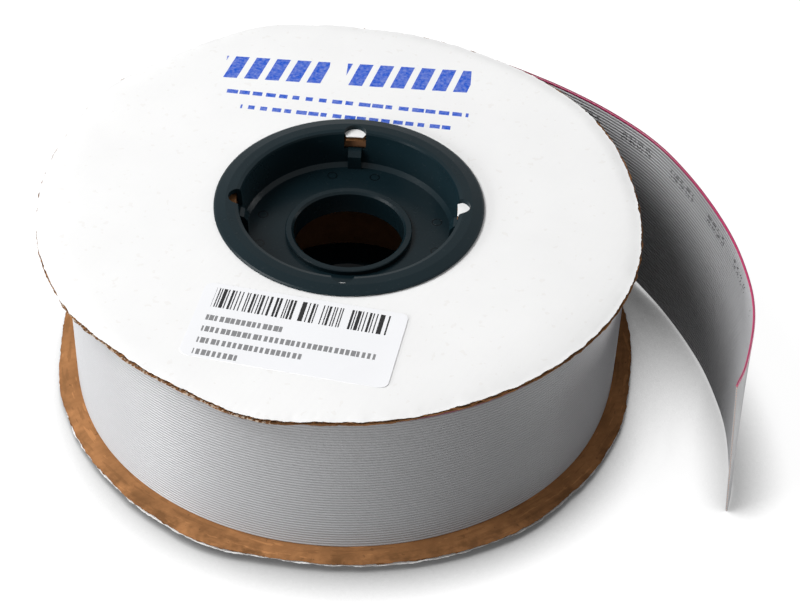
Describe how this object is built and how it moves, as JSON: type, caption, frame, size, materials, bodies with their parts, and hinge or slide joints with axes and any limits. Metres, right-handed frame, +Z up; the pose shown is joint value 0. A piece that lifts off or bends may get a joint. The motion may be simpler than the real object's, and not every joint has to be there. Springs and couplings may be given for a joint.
{
  "type": "ribbon cable reel",
  "caption": "Flat grey ribbon cable with a red edge conductor, wound on a board reel with plastic hub plugs, its free end standing off the roll.",
  "frame": {"origin": "on the reel's axis, at the table under the lower hub's rim", "axes": "+Z up along the reel's axis; +Y away from the picture's camera, +X to its right"},
  "size_m": [0.2551, 0.225, 0.0725],
  "materials": {
    "core": "matte",
    "board": "matte",
    "liner": "matte",
    "hub": "satin",
    "ribbon": "satin",
    "marker": "satin",
    "label": "matte"
  },
  "bodies": {
    "root": {"core_tube": "core", "bottom_board": "board", "bottom_liner": "liner", "top_board": "board", "top_liner": "liner", "bottom_hub": "hub", "top_hub": "hub", "cable_roll": "ribbon", "cable_tail": "ribbon", "marker_wire": "marker", "label": "label"}
  },
  "joints": []
}
